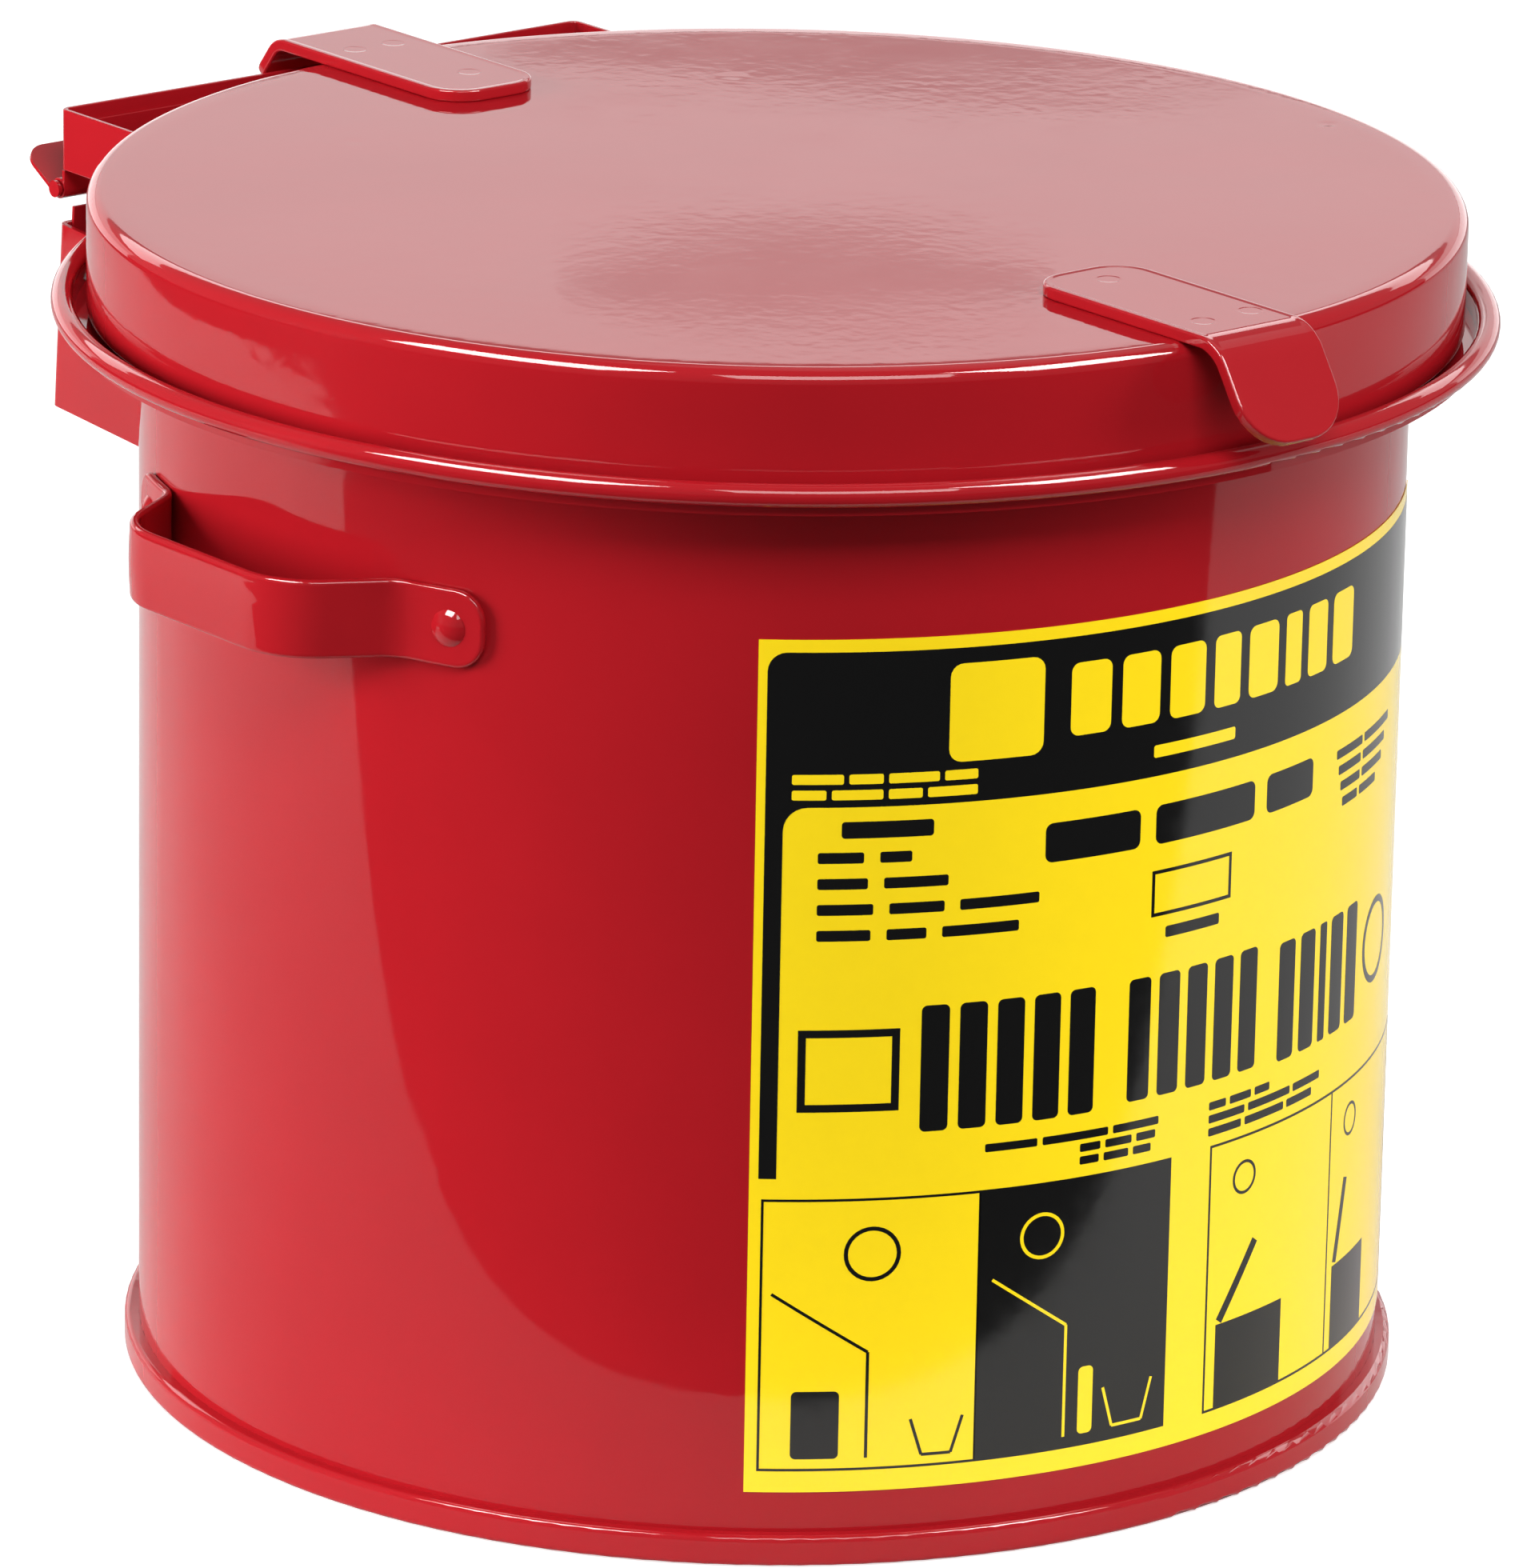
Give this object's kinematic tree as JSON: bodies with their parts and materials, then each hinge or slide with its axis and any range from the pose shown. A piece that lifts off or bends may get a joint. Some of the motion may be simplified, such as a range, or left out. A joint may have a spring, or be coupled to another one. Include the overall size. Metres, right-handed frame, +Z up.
{
  "type": "oily waste can",
  "caption": "Round red steel waste can with a rim gutter, riveted side handles and a flat overhanging lid that lifts on a rear hinge, stops before its balance point and falls shut by itself.",
  "frame": {"origin": "centre of the can's base, on the ground plane that the bottom seam stands on", "axes": "+Z up along the can's axis; the front, with the lift tab and the label, faces -Y; the hinge is on the +Y side with its pin along X"},
  "size_m": [0.2776, 0.3088, 0.2358],
  "materials": {
    "red_enamel": "glossy baked enamel with a fine orange-peel texture",
    "label_film": "printed vinyl film, satin gloss"
  },
  "bodies": {
    "can": {"body_shell": "red_enamel", "bottom_pan": "red_enamel", "rim_gutter": "red_enamel", "label": "label_film", "left_handle": "red_enamel", "right_handle": "red_enamel", "left_front_rivet": "red_enamel", "left_rear_rivet": "red_enamel", "right_front_rivet": "red_enamel", "right_rear_rivet": "red_enamel", "lower_hinge_bracket": "red_enamel", "lower_hinge_leaf": "red_enamel", "stop_leaf": "red_enamel", "hinge_pin": "red_enamel"},
    "lid": {"lid_pan": "red_enamel", "front_lift_tab": "red_enamel", "rear_strap": "red_enamel", "upper_hinge_bracket": "red_enamel", "upper_hinge_leaf": "red_enamel"}
  },
  "joints": [
    {"name": "lid_hinge", "type": "hinge", "parent": "can", "child": "lid", "pos_m": [0, 0.145, 0.2125], "axis": [-1, 0, 0], "range_deg": [0, 65]}
  ]
}
